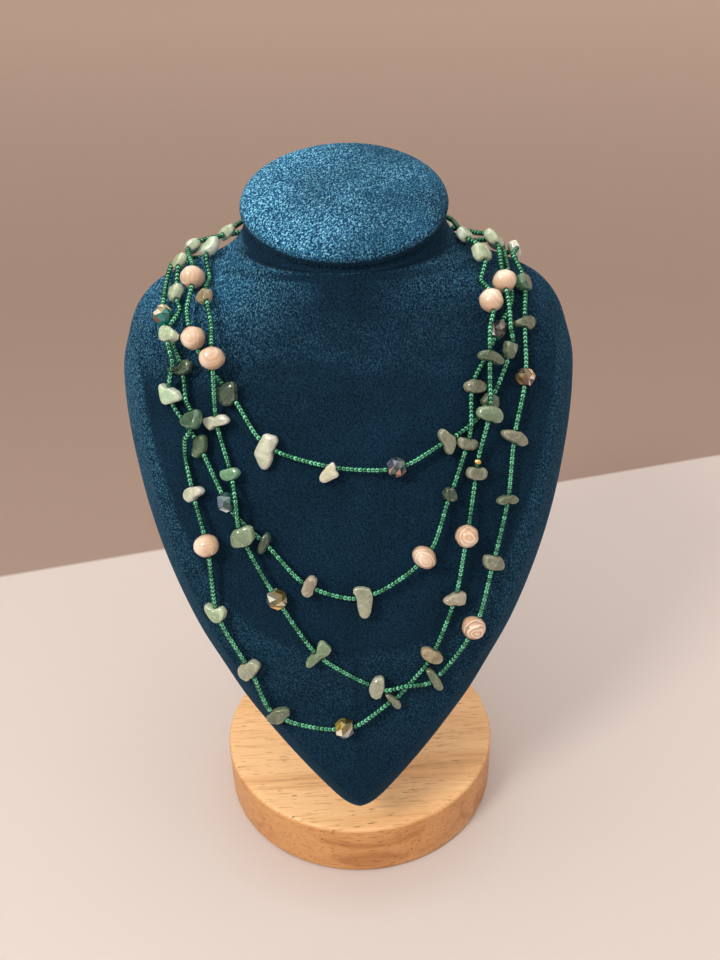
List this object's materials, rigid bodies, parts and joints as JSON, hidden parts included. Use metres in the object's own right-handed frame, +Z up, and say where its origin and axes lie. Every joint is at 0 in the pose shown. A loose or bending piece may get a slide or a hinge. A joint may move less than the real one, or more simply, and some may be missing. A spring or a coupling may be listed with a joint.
{
  "type": "long beaded necklace on a neck bust stand",
  "caption": "Long necklace of strung seed beads, stone chips, pearls and cut crystals, wound in loops round a padded neck bust that leans forward on a round wooden base.",
  "frame": {"origin": "middle of the wooden base's underside", "axes": "+Z up, -Y the front that the bust's chest faces, +X to the right as seen from the front"},
  "size_m": [0.1366, 0.1125, 0.2237],
  "materials": {
    "base_wood": "satin",
    "bust_velvet": "velvet",
    "seed_glass": "gloss",
    "chip_stone": "polished stone",
    "pearl": "pearl lustre",
    "cut_crystal": "half-mirrored cut glass",
    "gold": "polished"
  },
  "bodies": {
    "root": {"base_disc": "base_wood", "post": "base_wood", "neck_bust": "bust_velvet", "neck_cap": "bust_velvet", "seed_string_a": "seed_glass", "seed_string_b": "seed_glass", "seed_string_c": "seed_glass", "seed_string_d": "seed_glass", "chips_a": "chip_stone", "chips_b": "chip_stone", "chips_c": "chip_stone", "chips_d": "chip_stone", "pearl_1": "pearl", "pearl_2": "pearl", "pearl_3": "pearl", "pearl_4": "pearl", "pearl_5": "pearl", "pearl_6": "pearl", "pearl_7": "pearl", "pearl_8": "pearl", "pearl_9": "pearl", "crystal_1": "cut_crystal", "crystal_2": "cut_crystal", "crystal_3": "cut_crystal", "crystal_4": "cut_crystal", "crystal_5": "cut_crystal", "crystal_6": "cut_crystal", "crystal_7": "cut_crystal", "crystal_8": "cut_crystal", "crystal_9": "cut_crystal", "crimp_bead": "gold"}
  },
  "joints": []
}
